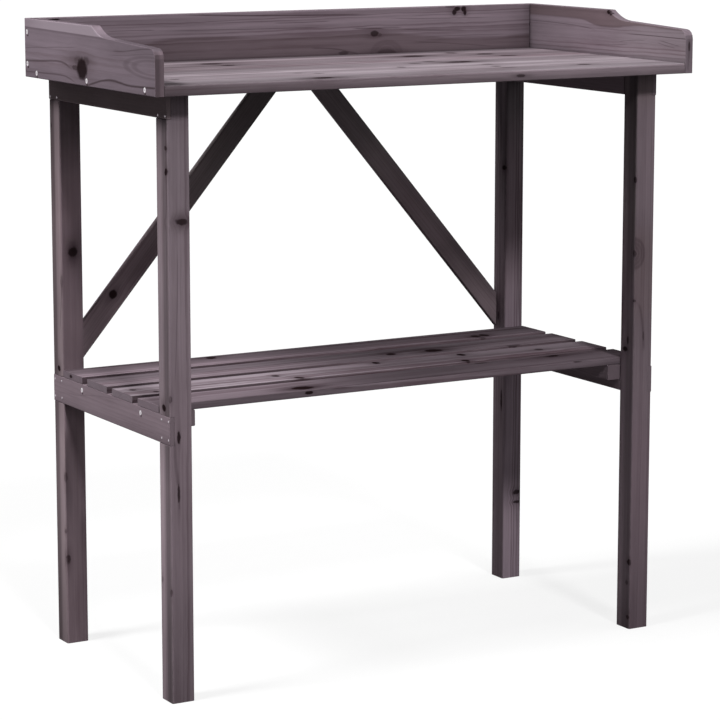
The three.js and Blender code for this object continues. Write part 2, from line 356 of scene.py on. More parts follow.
# For each way that the grain can run: the axes along it, across the board and through the board
GRAIN_AXES = {"x": (0, 1, 2), "y": (1, 0, 2), "z": (2, 0, 1)}
PINE_LIGHT, PINE_DARK = (0.270, 0.209, 0.240), (0.125, 0.080, 0.096)
KNOT_INK = (0.016, 0.008, 0.009)
KNOT_WOBBLE, WOBBLE_SCALE, WOBBLY_SIZE = 0.9, 160, 6
KNOT_BEND, HALO_SHARE, HALO_ALONG, HALO_ACROSS = -0.7, 0.45, 0.34, 0.62

# From pale to dark wood: place on the ramp, share of the dark colour, and level
WOOD_STOPS = ((0, 0, 1.12), (0.30, 0, 0.92), (0.62, 0.5, 0.88), (1, 1, 0.92))

# How much each figure darkens the wood, and where they all begin
LATE_SHARE, STREAK_SHARE, RING_SHARE, CLOUD_SHARE, FIBRE_SHARE = 0.55, 0.75, 0.75, 1.1, 0.3
FIGURE_LEVEL = 0.28
INK_LEVEL, HALO_LEVEL, WEAR_LEVEL = 0.42, 0.50, 1.25
END_STRENGTH, HEART_STRENGTH, WEAR_STRENGTH = 0.8, 0.96, 0.22
WANDER = 1.6 * MM
WEAR_RADIUS = 0.9 * MM
WEAR_PATCHES = (60, 3, 0.6)
GRAIN_BUMP = (0.35, 0.25 * MM)


def scaled(colour, factor):
    return tuple(c * factor for c in colour)


def turned(g, position, angle, origin):
    """The place in a frame that lies along a sloping board."""
    mapping = g.add("ShaderNodeMapping", vector_type="TEXTURE")
    mapping.inputs["Location"].default_value = [v * MM for v in origin]
    mapping.inputs["Rotation"].default_value = (0.0, math.radians(angle), 0.0)
    g.put(mapping.inputs["Vector"], position)
    return mapping.outputs[0]


def add_knots(g, position, knots, along, across):
    """Every knot is (centre, radii, strength, halo, bend), and the last two may be left out."""
    wobble = g.swing(g.noise(position, WOBBLE_SCALE), KNOT_WOBBLE)
    spread = [0.0 if axis == along else 1.0 for axis in range(3)]
    bent, heart, halo = position, None, None
    for centre, radii, strength, *rest in knots:
        node = g.add("ShaderNodeGroup", node_tree=KNOT_GROUP)
        size = (radii[across] * radii[along]) ** 0.5
        strain = rest[1] if len(rest) > 1 else 1.0
        g.fill(node, {
            "Position": position, "Bent": bent, "Heart before": heart, "Halo before": halo,
            "Centre": [v * MM for v in centre], "Inverse radii": [1.0 / (v * MM) for v in radii],
            "Across": spread, "Fade": [HALO_ACROSS if s else HALO_ALONG for s in spread],
            "Heart": min(1.0, strength), "Halo": rest[0] if rest else HALO_SHARE * strength,
            "Wobble": g.times(wobble, min(1.0, WOBBLY_SIZE / size)), "Bend": KNOT_BEND * strain,
        })
        bent, heart, halo = node.outputs["Bent"], node.outputs["Heart"], node.outputs["Halo"]
    return bent, heart, halo


def add_rings(g, u, v, w, pith, lean, spacing, wave, seed):
    node = g.add("ShaderNodeGroup", node_tree=RING_GROUP)
    g.fill(node, {
        "U": u, "V": v, "W": w, "Pith V": pith[0] * MM, "Pith W": pith[1] * MM, "Lean V": lean[0],
        "Lean W": lean[1], "Spacing": spacing * MM, "Wave": wave * MM, "Seed": seed,
    })
    return list(node.outputs)


def worn_edges(g, position, normal):
    """A mask that is broken by noise and lies along the edges, where the rounded normal turns away."""
    x, y, z = (g.unsigned(part) for part in g.separate(normal))
    patches = g.step(g.noise(position, *WEAR_PATCHES), 0.34, 0.66)
    return g.times(g.step(g.largest(x, y, z), 0.985, 0.80), patches)


def wood(name, grain, tone, pith, lean, spacing, wave, contrast, seed, cloud=0.7, knots=(), drawn=(),
         turn=None, flip=False, extra=None, light=PINE_LIGHT, dark=PINE_DARK, end_tone=0.80):
    """Pine. Lengths are in millimetres, and pith is the place of the tree's heart in the board's section."""
    material = bpy.data.materials.new(name)
    g = empty_tree(material)
    out = g.add("ShaderNodeOutputMaterial")
    shader = g.add("ShaderNodeBsdfPrincipled")
    g.put(out.inputs["Surface"], shader.outputs[0])
    position = g.add("ShaderNodeTexCoord").outputs["Object"]
    along, across, through = GRAIN_AXES[grain]
    if flip:
        across, through = through, across
    if turn is not None:
        position = turned(g, position, *turn)
    bent, heart, halo = add_knots(g, position, knots, along, across)
    places = g.separate(bent)
    u, v, w = places[along], places[across], places[through]
    late, ring_tone, streak, fibre, clouds = add_rings(g, u, v, w, pith, lean, spacing, wave, seed)

    # Colour: late wood and streaks darken, broad clouds drift, end grain is darker
    depth = g.times(late, LATE_SHARE * contrast)
    for figure, share in ((streak, STREAK_SHARE * contrast), (ring_tone, RING_SHARE * contrast),
                          (clouds, CLOUD_SHARE * cloud), (fibre, FIBRE_SHARE)):
        depth = g.times_plus(g.minus(figure, 0.5), share, depth)
    depth = g.math("ADD", depth, FIGURE_LEVEL, clamp=True)
    colour = g.ramp(depth, [
        (place, scaled([l * (1.0 - share) + d * share for l, d in zip(light, dark)], level * tone))
        for place, share, level in WOOD_STOPS])
    parts = g.separate(position)
    facing = g.separate(g.add("ShaderNodeNewGeometry").outputs["Normal"])
    if turn is None:
        end = g.step(g.unsigned(facing[along]), 0.75, 0.95)
        colour = g.mix(g.times(end, END_STRENGTH), colour, scaled(light, end_tone * tone))
    if drawn:
        ink = scaled(dark, INK_LEVEL * tone)
        colour = draw(g, colour, parts, facing, drawn, g.swing(streak, WANDER), ink)
    if extra:
        colour = extra(g, colour, parts, streak)
    if knots:
        colour = g.mix(halo, colour, scaled(dark, HALO_LEVEL * tone))
        colour = g.mix(g.times(heart, HEART_STRENGTH), colour, KNOT_INK)

    # Worn edges show paler wood
    bevel = g.add("ShaderNodeBevel", samples=4)
    bevel.inputs["Radius"].default_value = WEAR_RADIUS
    rounded = bevel.outputs["Normal"]
    if turn is None:
        worn = worn_edges(g, position, rounded)
        colour = g.mix(g.times(worn, WEAR_STRENGTH), colour, scaled(light, WEAR_LEVEL * tone))

    # The dry surface: late wood, streaks and knots are smoother and stand a little higher
    dry = g.times_plus(late, -0.10, g.times_plus(streak, -0.14, 0.86))
    height = g.times_plus(streak, 0.5, g.times_plus(fibre, 0.55, g.times(late, 0.45)))
    if knots:
        dry = g.times_plus(heart, -0.22, dry)
        height = g.times_plus(heart, 0.7, height)
    normal = g.bump(height, *GRAIN_BUMP, rounded)
    g.fill(shader, {"Base Color": colour, "Roughness": dry, "Specular IOR Level": 0.0, "Normal": normal})
    return material


def dress(node, material):
    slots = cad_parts[node].data.materials
    slots.clear()
    slots.append(material)


def board(name, *cut, **more):
    """Give a wooden piece its own cut of pine."""
    dress(name, wood(f"{name}_pine", *cut, **more))


def outer_face(node):
    """How far out a piece reaches from the middle of the bench, in millimetres."""
    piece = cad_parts[node]
    reach = max(abs((piece.matrix_world @ Vector(corner)).x) for corner in piece.bound_box)
    return round(reach / MM, 1)


LEG_FACE = outer_face("left_shelf_rail")
BOARD_FACE = outer_face("left_side_board")


# Wood: the legs, the rails and the battens

def leg(name, tone, pith, seed, knots, drawn, contrast=0.5):
    board(name, "z", tone, pith, lean=(0.004, 0), spacing=3.6, wave=5, contrast=contrast, seed=seed,
          knots=knots, drawn=drawn)


# The legs' tones and tints follow their wood and also paint shade and light: darker and greyer under the
# worktop, the side boards and the rails, lightened where the lamps reach and darkened where their shadows
# fall.
leg("front_left_leg", 1.05, (-310, -240), 3.1, [
    ((-359, -164.1, 632), (9.5, 8, 4.4), 0.8, 0.8), ((-379, -160.5, 696.5), (3, 3.4, 5), 1),
    ((-379, -160, 726), (3, 3.6, 3.4), 0.75), ((-378, -164.1, 403.5), (3, 3, 5), 0.55),
    ((-366, -164.1, 353), (2.6, 5, 8.5), 0.95, 0.3), ((-367, -164.1, 278), (1.8, 5, 15), 0.85, 0.25),
    ((-378.8, -147.5, 390.3), (4, 5.5, 5), 1, 0.5), ((-378.8, -163, 148), (2, 3, 5), 0.5),
    ((-378.8, -137, 162), (3, 4, 5), 0.3),
], [
    ("tone", "-Y", "Z", [
        (0, 0.66), (100, 0.75), (225, 0.96), (350, 1.07), (420, 1), (550, 1.27), (610, 1.2), (670, 1.05),
        (740, 1.05), (770, 0.92), (794, 0.9)]),
    ("tint", "-Y", "Z", 380, 560, (0.98, 1.01, 1)),
    ("tone", "-X", "Y", [(-164, 0.7), (-153, 0.7), (-147, 1.16), (-143, 1.2), (-132, 1.12)]),
    ("tone", "-X", "Y", [
        (-164, 1.05), (-153, 1.02), (-147, 1.1), (-143, 1.32), (-132, 1.36)], ("Z", 400, 300)),
    ("tint", "-X", *EVERYWHERE, (0.98, 1.012, 0.985)),
    ("tone", "-X", "Z", [
        (0, 0.64), (100, 0.76), (288, 1.08), (351, 0.93), (414, 1.06), (480, 1.02), (600, 1.14), (690, 1.1),
        (735, 0.84), (762, 0.62), (794, 0.9)]),
    ("line", "-Y", "ZX", [(285, -367.5), (300, -369), (318, -371), (340, -372), (352, -372)], 3.4, 0.36),
    ("line", "-Y", "ZX", [(420, -371), (480, -368), (540, -366), (600, -365)], 1, 0.35),
    ("line", "-X", "ZY", [(640, -163), (690, -161.5), (740, -161), (762, -160)], 1.4, 0.4),
])
leg("front_right_leg", 0.93, (300, -260), 8.7, [
    ((346.8, -163, 646), (2, 4, 5), 0.8), ((347, -150.5, 417), (3, 2.2, 6), 0.8, 0.3),
    ((347, -145, 404.5), (3, 6, 4), 0.95, 0.4), ((346.8, -163, 98), (2, 6, 4.5), 0.9, 0.4),
    ((346.8, -157, 67), (2, 3.4, 3.4), 0.5), ((346.8, -160.5, 17), (2, 4, 4), 0.8, 0.3),
    ((347, -164.1, 542), (3, 4, 5), 0.75, 0.35), ((347, -164.1, 475.5), (3, 3, 2.5), 0.8, 0.3),
    ((364, -164.1, 424), (1.6, 3, 7), 0.4, 0.2),
], [
    ("tone", "-Y", "Z", [
        (0, 0.56), (60, 0.64), (160, 0.82), (351, 0.95), (414, 0.87), (560, 0.84), (610, 0.96), (670, 0.98),
        (745, 0.96), (768, 0.84), (794, 0.84)]),
    ("tint", "-Y", "Z", 735, 770, (1, 1.005, 0.95)),
    ("tone", "-X", "Y", [(-164, 0.7), (-149, 0.76), (-144, 1.16), (-132, 1.42)]),
    ("tint", "-X", "Z", 480, 600, (0.955, 1.01, 0.95)),
    ("tint", "-Y", "Z", 380, 250, (1.03, 0.99, 1.01)),
    ("tone", "-X", "Z", [
        (0, 0.52), (60, 0.76), (160, 0.95), (440, 1), (500, 1.28), (600, 1.42), (680, 1.06), (740, 0.82),
        (794, 0.8)]),
    ("tint", "-Y", "Z", 590, 560, (1.02, 1, 0.965)),
    ("tint", "-Y", "Z", 470, 430, (0.98, 1, 1.035)),
    ("ovals", "-Y", "ZX", (542, 346.5), (20, 16), (0.45, 0.72, 1), 0.24, 0.34),
    ("line", "-Y", "ZX", [
        (400, 365), (425, 363.5), (450, 360.5), (465, 357), (473, 352), (476, 347)], 3.2, 0.32),
    ("line", "-Y", "ZX", [(0, 373), (300, 374), (500, 372), (794, 374)], 1, 0.25),
])
leg("back_left_leg", 1, (-440, 250), 12.4, [
    ((-361.5, 168.5, 554), (7.4, 8, 7), 0.88, 0.95), ((-378.8, 182, 390.5), (3, 5, 4.5), 1, 0.5),
    ((-378.8, 169, 161.5), (2.5, 4, 4), 0.5), ((-377.5, 168.5, 238), (2.8, 4, 8), 0.45, 0.3),
    ((-376, 168.5, 122), (3.4, 4, 7), 0.7, 0.6), ((-378.8, 196, 727), (3, 3, 4), 0.6),
    ((-378.8, 169, 513), (2, 3.5, 9), 0.4),
], [
    ("tone", "-X", "Y", [(168, 1.36), (178, 1.4), (183, 1.2), (187, 0.8), (200, 0.63)]),
    ("tint", "-X", *EVERYWHERE, (1, 1.005, 0.955)),
    ("tint", "-Y", *EVERYWHERE, (1.03, 0.98, 0.975)),
    ("tone", "-X", "Z", [
        (0, 0.6), (100, 0.8), (240, 1.04), (290, 1.02), (351, 0.82), (480, 0.8), (600, 1.12), (666, 0.98),
        (719, 0.76), (794, 0.6)]),
    ("tone", "-Y", "Z", [
        (0, 0.87), (160, 0.8), (230, 0.97), (262, 1.04), (285, 1.1), (330, 1.05), (346, 0.86), (410, 0.72),
        (471, 0.82), (540, 0.98), (600, 1.38), (657, 1.36), (719, 0.78), (794, 0.7)]),
    ("tint", "-Y", "Z", 640, 760, (0.96, 1.025, 0.99)),
    # Painted shade and light: these windowed tones darken the left and lighten the right of the front face,
    # redrawing the shelf's shadow.
    ("tone", "-Y", "X", [(-379, 0.95), (-372, 1), (-366, 1.12), (-347, 1.25)], ("Z", 285, 318, 400, 345)),
    ("tone", "-Y", "X", [
        (-379, 0.5), (-371, 0.62), (-362, 0.95), (-355, 1.24), (-347, 1.42)], ("Z", 140, 225, 318, 285)),
    ("line", "-X", "ZY", [(445, 176), (465, 174), (490, 171), (515, 169)], 1.2, 0.4),
], contrast=0.35)
leg("back_right_leg", 0.9, (300, 100), 17.9, [
    ((346.8, 173, 632), (3, 6, 4), 0.95, 0.5), ((346.8, 186, 405), (3, 2.8, 7), 0.6, 0.3),
    ((346.8, 176, 276), (3, 2.4, 17), 0.9, 0.4), ((371, 168.5, 133.5), (7, 4, 4), 0.85, 0.4),
    ((372, 168.5, 118), (7, 4, 2.4), 0.85, 0.3), ((377, 168.5, 126), (2.4, 4, 18), 0.5, 0.3),
], [
    # Painted shade: the front face darkens towards the top, under the worktop.
    ("tone", "-Y", "Z", [
        (0, 1.26), (98, 1.32), (160, 1.15), (350, 1.2), (400, 1.07), (520, 0.98), (640, 0.78), (720, 0.58),
        (794, 0.5)]),
    ("tone", "-X", "Z", [(0, 0.63), (160, 0.7), (300, 0.85), (500, 0.82), (660, 0.84), (794, 0.98)]),
    ("tint", "-X", "Z", 480, 620, (0.96, 1.02, 0.99)),
    ("tint", "-Y", "Z", 640, 740, (0.94, 1.03, 0.98)),
    ("tint", "-Y", "Z", 500, 400, (0.99, 1, 1.025)),
    ("line", "-Y", "ZX", [(395, 371), (480, 371), (560, 371.5), (620, 371.5)], 1.1, 0.5),
], contrast=0.75)


def rail(name, tone, pith, seed, drawn=(), cloud=0.7):
    """A rail or a batten."""
    board(name, "y", tone, pith, lean=(0.006, 0.004), spacing=4, wave=5, contrast=0.32, cloud=cloud,
          seed=seed, drawn=drawn)


# The screws in the outer faces of each side: place from front to back, and height
RAIL_SCREWS = [(-76.5, 371.8), (107.7, 371.8)]
BOARD_SCREWS = [(-171.4, 800.4), (2.2, 800.4), (164.2, 800.4), (193.2, 811.8), (193.2, 854.8)]


def grain_lines(face, axes, lines):
    """Several grain lines on one face. Each is (points, width, strength)."""
    return [("line", face, axes, *line) for line in lines]


def screw_rims(spots):
    """A faint dark ring round each screw of a left-hand piece."""
    return [("ovals", "-X", "YZ", spot, (4.6, 4.6), (0.85,), 0.3, 0.35) for spot in spots]


def screw_shadows(spots):
    """A painted shadow: a dark spot below and in front of each screw of a left-hand piece."""
    return [("ovals", "-X", "YZ", (y - 2.2, z - 3.6), (3.4, 2.6), (0,), 1, 1) for y, z in spots]


# Painted light: the left top rail, which sits in shade, is lifted by its tone, and its tint takes some blue
# out of its shade.
rail("left_top_rail", 1.29, (-420, 830), 21.3, [("tint", "", *EVERYWHERE, (1, 1, 0.945))])
rail("right_top_rail", 1.1, (330, 700), 24.2)
rail("left_shelf_rail", 1.03, (-340, 300), 28.8, [
    ("line", "-X", "YZ", [(-30, 379), (40, 374), (90, 368), (130, 362), (170, 361)], 1.2, 0.16),
    ("tone", "-X", "Z", [(342.8, 0.85), (353, 0.95), (362, 1.06), (380, 1.04)]),
    *screw_shadows(RAIL_SCREWS),
], cloud=0.8)
# Painted light: tones lighten the shaded inner faces of the right shelf rail and batten, most towards the
# front.
rail("right_shelf_rail", 0.92, (420, 330), 31.6, [("tone", "-X", "Y", [(-164, 1.6), (200, 1.4)])])
rail("left_shelf_batten", 0.9, (-300, 420), 35.5)
rail("right_shelf_batten", 0.9, (300, 330), 38.1, [
    ("tone", "-X", "Y", [(-132, 1.9), (-100, 1.75), (0, 1.5), (168, 1.4)]),
])


# Wood: the shelf slats and the worktop boards, counted from the front

SLAT_KNOTS = {
    1: [
        ((-157, -114, 390), (16, 12, 5), 1, 1), ((270, -73, 390), (10, 9, 5), 0.95, 0.6),
        ((150, -74, 390), (10, 4, 4), 0.5, 0.4), ((-157, -131.8, 386.5), (7, 5, 2.4), 1, 0.4),
        ((275, -131.8, 390.2), (7, 5, 1.4), 0.7, 0.2)],
    2: [
        ((24, 2, 390), (6, 8, 5), 1), ((-146, -17, 390), (6, 8, 5), 0.85),
        ((-124, -45, 390), (7, 8, 5), 0.9), ((143, -45, 390), (6, 8, 5), 1), ((163, -2, 390), (7, 9, 5), 1),
        ((283, -20, 390), (7, 7, 5), 0.7), ((-359, -13, 390), (5, 6, 5), 0.8),
        ((-337, -40, 390), (4, 6, 5), 0.7)],
    3: [
        ((79, 52, 390), (8, 8, 5), 1, 0.6), ((147, 48, 390), (14, 11, 5), 1, 0.9),
        ((270, 28, 390), (12, 3, 4), 0.6, 0.4)],
    4: [
        ((-158, 153, 390), (8, 8, 5), 1, 0.5), ((265, 122, 390), (8, 9, 5), 0.95, 0.6),
        ((281, 124, 390), (8, 9, 5), 0.95, 0.6), ((268, 107, 390), (8, 3, 4), 0.5, 0.3),
        ((-378.8, 143, 385.5), (5, 4.5, 2.6), 0.9, 0.3)],
}
SLAT_TONES = {
    1: [
        (-379, 0.9), (-345, 1.05), (-210, 1.08), (-137, 0.96), (-63, 0.75), (83, 0.78), (230, 1.02),
        (379, 0.92)],
    2: [(-379, 1.22), (-330, 1.42), (-95, 1.43), (0, 1.32), (115, 1.2), (255, 1.38), (379, 1.28)],
    3: [(-379, 1.1), (-201, 1.06), (-67, 0.97), (68, 0.8), (135, 0.76), (269, 1.02), (379, 1.02)],
    4: [(-379, 0.98), (0, 0.86), (148, 0.93), (275, 0.72), (379, 0.64)],
}
SLAT_MARKS = {
    1: [
        ("tone", "+Z", "Y", [
            (-132, 1.15), (-114, 1.08), (-95, 1.05), (-75, 0.9), (-69, 0.88)], ("X", -40, 60)),
    ],
    2: [
        ("tone", "+Z", "Y", [(-53, 1.2), (-36, 1.18), (-26, 0.9), (-16, 0.86), (-6, 0.95), (10, 1)]),
        ("tone", "+Z", "Y", [
            (-53, 0.95), (-36, 0.98), (-26, 1.03), (-16, 1.22), (-6, 1.32), (10, 1.12)], ("X", 80, -20)),
        ("tint", "+Z", "X", 20, -120, (0.975, 1.015, 1)),
    ],
    3: [
        ("tone", "+Z", "Y", [(26, 1.32), (50, 1.24), (63, 0.9), (89, 0.84)]),
        ("tone", "+Z", "Y", [(26, 1), (53, 1), (62, 0.83), (89, 0.8)], ("X", 60, -60)),
        ("ovals", "+Z", "XY", (112, 67), (85, 16), (0,), 1, 0.4),
    ],
    4: [("tone", "+Z", "Y", [(105, 1.6), (121, 1.36), (133, 1), (143, 0.85), (151, 0.92), (168, 0.76)])],
}
# Painted light and shade on the slats' front faces: the front slat's face is lit and darker at its foot, the
# others' lie in shade in the gaps, darkest at the left.
LIT_EDGE = [
    ("tone", "-Y", "Z", [(380.7, 0.74), (384, 0.9), (390, 1.05)]),
    ("tone", "-Y", "X", [
        (-379, 0.78), (-196, 0.83), (-114, 0.92), (-31, 1.25), (51, 1.3), (134, 1.07), (379, 0.9)]),
]
SHADED_EDGE = [
    ("tone", "-Y", "X", [(-379, 0.5), (-160, 0.56), (-90, 0.72), (0, 0.86), (120, 0.86), (379, 0.7)]),
    ("tint", "-Y", *EVERYWHERE, (1.05, 0.97, 0.98)),
]
OUTER_SLAT, INNER_SLAT = (0.267, 0.209, 0.242), (0.264, 0.212, 0.243)

# How each slat was cut from its tree: tone, pith, lean, ring spacing and seed, and then its light colour
SLAT_CUTS = {
    1: (0.86, (-80, 340), 0.02, 5, 42.7, OUTER_SLAT),
    2: (0.9, (-40, 360), -0.02, 4.6, 45.9, INNER_SLAT),
    3: (0.86, (100, 350), 0.03, 5.2, 49.4, INNER_SLAT),
    4: (0.82, (170, 345), -0.02, 4.8, 53.2, OUTER_SLAT),
}
for i, (tone, pith, lean, spacing, seed, light) in SLAT_CUTS.items():
    marks = [("tone", "+Z", "X", SLAT_TONES[i]), *SLAT_MARKS[i], *(LIT_EDGE if i == 1 else SHADED_EDGE)]
    board(f"shelf_slat_{i}", "x", tone, pith, lean=(lean, 0), spacing=spacing, wave=7, contrast=0.9,
          cloud=1, seed=seed, knots=SLAT_KNOTS[i], drawn=marks, light=light, end_tone=1.02)


PLANK_KNOTS = {
    1: [
        ((-165, -186, 810), (17, 12, 3.5), 1, 1), ((-340, -110, 808), (7, 7, 5), 0.7),
        ((-130, -112, 808), (8, 7, 5), 0.5), ((143, -118, 808), (8, 8, 5), 0.6),
        ((145, -147, 808), (15, 5, 5), 0.5, 0.3), ((268, -148, 808), (11, 8, 5), 0.85, 0.5),
        ((129, -202.1, 801.5), (6.5, 4, 2.2), 0.68, 0.5)],
    2: [
        ((145, -22, 808), (19, 13, 6), 1, 1), ((75, -17, 808), (10, 8, 5), 0.5, 0.4),
        ((22, -70, 808), (7, 8, 5), 0.6), ((155, -79, 808), (8, 8, 5), 0.6),
        ((-152, -95, 808), (7, 6, 5), 0.45)],
    3: [
        ((-165, 78, 808), (10, 8, 6), 1, 0.7), ((275, 55, 808), (14, 11, 6), 0.62, 0.6),
        ((112, 6, 808), (10, 8, 5), 0.5, 0.4)],
    4: [
        ((-172, 115, 808), (17, 13, 6), 0.78, 0.7), ((150, 110, 808), (18, 14, 6), 0.85, 0.9),
        ((234, 144, 808), (9, 11, 6), 0.8, 0.4), ((265, 101, 808), (14, 11, 6), 0.95, 0.6)],
}

# How each board was cut from its tree: pith, lean, ring spacing and seed
PLANK_CUTS = {
    1: ((-150, 780), 0.012, 5.2, 61.3),
    2: ((-60, 770), -0.012, 5.6, 64.8),
    3: ((40, 775), 0.01, 5, 68.5),
    4: ((140, 772), -0.01, 5.4, 71.9),
}
# The worktop's lengthwise streaks and tones, with painted shade darkening it along the back board.
WORKTOP = [
    ("tone", "+Z", "Y", [
        (-202, 0.98), (-160, 1.1), (-116, 1.5), (-92, 1.13), (-68, 1.57), (-44, 1.22), (-20, 1.05),
        (4, 0.92), (30, 1.38), (52, 1.2), (76, 0.86), (124, 1.13), (150, 1.08), (168, 0.6), (187, 0.46)]),
    ("tone", "+Z", "X", [(-399, 0.86), (-200, 0.92), (-80, 1), (80, 1.08), (250, 1.03), (399, 1.03)]),
    ("tone", "+Z", "Y", [
        (-202, 1.04), (-130, 1.08), (-68, 1.12), (-20, 1.04), (20, 0.94), (60, 0.98), (90, 1.05),
        (187, 1.04)], ("X", 60, -100)),
    ("tone", "+Z", "Y", [
        (-202, 1), (-34, 1), (-20, 1.08), (28, 1.06), (52, 1.18), (76, 1.1), (100, 1), (187, 1)],
        ("X", 100, 200)),
    ("tint", "+Z", "Y", -60, 60, (1.02, 0.985, 0.995)),
    ("tint", "-Y", *EVERYWHERE, (1.035, 0.96, 0.985)),
]
# The first board's front edge, and a painted shade on the worktop beside the left side board's front end.
FRONT_EDGE = [
    ("ovals", "+Z", "XY", (-382, -176), (30, 16), (0,), 1, 0.5),
    ("tone", "-Y", "Z", [(794.6, 0.83), (799, 0.86), (801.5, 1.06), (804, 1.18), (808.6, 0.95)]),
    ("tone", "-Y", "X", [(-399, 0.7), (-300, 0.8), (-142, 0.95), (48, 1.02), (142, 0.9), (399, 0.9)]),
]
PLANK_LIGHT, PLANK_DARK = (0.263, 0.223, 0.247), (0.135, 0.097, 0.112)
for i, (pith, lean, spacing, seed) in PLANK_CUTS.items():
    marks = WORKTOP + (FRONT_EDGE if i == 1 else [])
    board(f"top_plank_{i}", "x", 1, pith, lean=(lean, 0), spacing=spacing, wave=7, contrast=1.1,
          cloud=1, seed=seed, knots=PLANK_KNOTS[i], drawn=marks, light=PLANK_LIGHT, dark=PLANK_DARK)


# Wood: the back board, the side boards and the braces

BOARD_LIGHT = (0.266, 0.211, 0.245)
HEARTWOOD = [
    (-399, 830), (-240, 835), (-160, 841), (-60, 838), (0, 837.5), (110, 839), (150, 838.5), (185, 835),
    (230, 831), (285, 826), (325, 825), (365, 828), (399, 830),
]
BACK_KNOTS = [
    ((130, 187, 837.6), (7.4, 30, 4.8), 0.8, 0.45), ((138, 187, 835.5), (5, 30, 2.6), 0.35, 0.3, 0.2),
    ((271, 187, 870), (5.5, 4, 3.6), 0.95, 0.5), ((266, 187, 865), (4, 30, 4.6), 0.92, 0.3),
    ((282, 187, 869.5), (4.2, 4, 4.6), 0.95, 0.4), ((284.5, 187, 864.5), (3, 30, 4.8), 0.92, 0.3),
    ((258, 187, 873), (10, 3, 1.4), 0.5, 0.3), ((-376, 187, 871.6), (9, 3, 1.5), 1, 0.3),
    ((150, 187, 808), (18, 30, 7), 0.45, 0.5), ((78, 187, 811), (9, 30, 3), 0.5, 0.4),
]
BACK_LINES = [
    ([(-190, 873), (-110, 870), (-60, 868.5), (0, 867.5), (60, 866.5), (130, 864.5)], 1.6, 0.7),
    ([(-220, 851), (-120, 850.5), (-20, 849.5), (60, 850)], 0.9, 0.45),
    ([(-300, 853), (-260, 853), (-220, 852)], 0.8, 0.5),
    ([(-40, 857.5), (0, 857), (60, 858)], 0.8, 0.6),
    ([(-260, 859), (-120, 860), (0, 860)], 0.8, 0.35),
    ([(90, 846), (130, 845.5), (180, 844.5)], 1, 0.6),
    ([(170, 842.5), (230, 840), (290, 838)], 0.9, 0.55),
    ([(150, 859), (240, 857), (330, 856)], 0.9, 0.4),
    ([(190, 862), (260, 862), (340, 861)], 0.7, 0.35),
    ([(190, 824), (240, 821), (300, 816), (340, 812)], 1.4, 0.3),
    ([(20, 820), (60, 818), (90, 812), (110, 808)], 1.8, 0.4),
    ([(210, 831), (280, 831), (360, 830)], 0.8, 0.3),
]
BACK_MARKS = [
    ("below", "-Y", "XZ", HEARTWOOD, 2.6, (0.67, 0.635, 0.625)),
    ("ovals", "-Y", "XZ", (150, 807), (25, 19), (0.52, 0.8, 1), 0.2, 0.2),
    *grain_lines("-Y", "XZ", BACK_LINES),
    # Painted shade: the back board darkens along the worktop and in the corner by the right side board.
    ("tone", "-Y", "Z", [(808.6, 0.66), (811.5, 0.94), (816, 1), (874, 1)]),
    ("tone", "-Y", "X", [(-399, 0.95), (-161, 0.97), (-44, 1.08), (355, 1.1), (385, 0.98), (399, 0.76)]),
]
board("back_board", "x", 1, (360, 700), lean=(0, 0.01), spacing=4, wave=4, contrast=0.8, seed=75.7,
      knots=BACK_KNOTS, drawn=BACK_MARKS, light=BOARD_LIGHT)


# The pale strip: two points of its lower edge (place from front to back, height), and its colours
BAND_EDGE = ((-70, 860), (202, 862.7))
BAND_LINE, BAND_PALE, BAND_STREAK = (0.11, 0.083, 0.096), (0.47, 0.385, 0.445), (0.35, 0.285, 0.33)


def light_band(g, colour, parts, streak):
    """The pale strip along the top of the left side board's outer face, over a straight edge."""
    (y_front, z_front), (y_back, z_back) = BAND_EDGE
    slope = (z_back - z_front) / (y_back - y_front)
    edge = g.times_plus(parts[1], slope, (z_front - y_front * slope) * MM)
    over = g.minus(parts[2], edge)
    outside = g.math("LESS_THAN", parts[0], (0.5 - BOARD_FACE) * MM)
    band = g.times(g.step(over, -0.3 * MM, 1.3 * MM), outside)
    below, above = g.step(over, -4 * MM, -0.8 * MM), g.step(over, 0.8 * MM, -0.4 * MM)
    line = g.times(g.times(below, above), outside)
    colour = g.mix(g.times(line, 0.32), colour, BAND_LINE)
    pale = g.mix(g.times(streak, 0.25), BAND_PALE, BAND_STREAK)
    return g.mix(g.times(band, g.step(parts[1], 200 * MM, 130 * MM, 0.55, 0.94)), colour, pale)


LEFT_KNOTS = [
    ((-412.5, 15.5, 816.5), (30, 18, 15), 0.96, 0.3, 0.25),
    ((-412.5, 35, 817), (30, 13, 3.6), 0.5, 0.45, 0.1), ((-412.5, 3, 827), (30, 11, 7), 0.4, 0.5, 0.1),
    ((-412.5, 26, 826), (30, 14, 8), 0.25, 0.5, 0.1),
]
LEFT_LINES = [
    ([
        (-230, 806.5), (-160, 804.5), (-130, 804), (-100, 806), (-75, 807.3), (-50, 805.5), (-30, 802),
        (-15, 799), (0, 796), (20, 793)], 2.1, 0.72),
    ([(28, 793), (40, 797.5), (60, 802), (80, 804), (150, 803), (230, 801)], 1.5, 0.5),
    ([(40, 812), (58, 817), (72, 820.5), (90, 822), (110, 821.5), (150, 819), (230, 816)], 2.1, 0.62),
    ([(20, 845), (60, 842), (100, 840), (150, 837), (230, 833)], 1, 0.3),
    ([(-230, 855), (-180, 853), (-140, 849.5), (-110, 846.5), (-70, 845)], 1.2, 0.45),
    ([(-230, 849), (-170, 846), (-120, 842), (-60, 839)], 1, 0.22),
]
